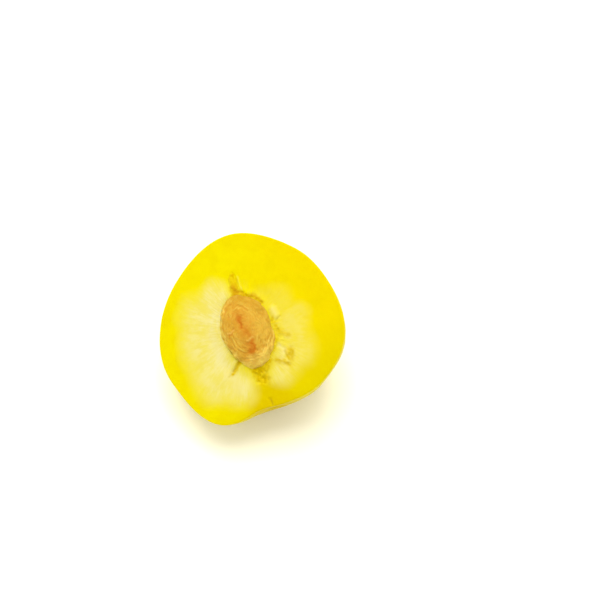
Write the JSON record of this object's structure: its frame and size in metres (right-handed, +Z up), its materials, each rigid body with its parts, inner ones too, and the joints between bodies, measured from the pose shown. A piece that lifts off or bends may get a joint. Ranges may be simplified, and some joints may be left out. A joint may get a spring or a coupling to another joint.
{
  "type": "plum half",
  "caption": "Half of a ripe yellow plum that lies on its round cheek, cut face up and tipped to the front, with its oval stone left in the socket.",
  "frame": {"origin": "centre of the bounding box in X and Y, on the plane of the pressed spot that the half rests on", "axes": "+Z up; the cut face is tipped 20.8 degrees from level towards -Y; the stem end of the fruit points to +X and -Y, the tip to -X and +Y"},
  "size_m": [0.0458, 0.0456, 0.0288],
  "materials": {
    "flesh_and_skin": "satin",
    "stone": "satin"
  },
  "bodies": {
    "root": {"plum_half": "flesh_and_skin", "plum_stone": "stone"}
  },
  "joints": []
}
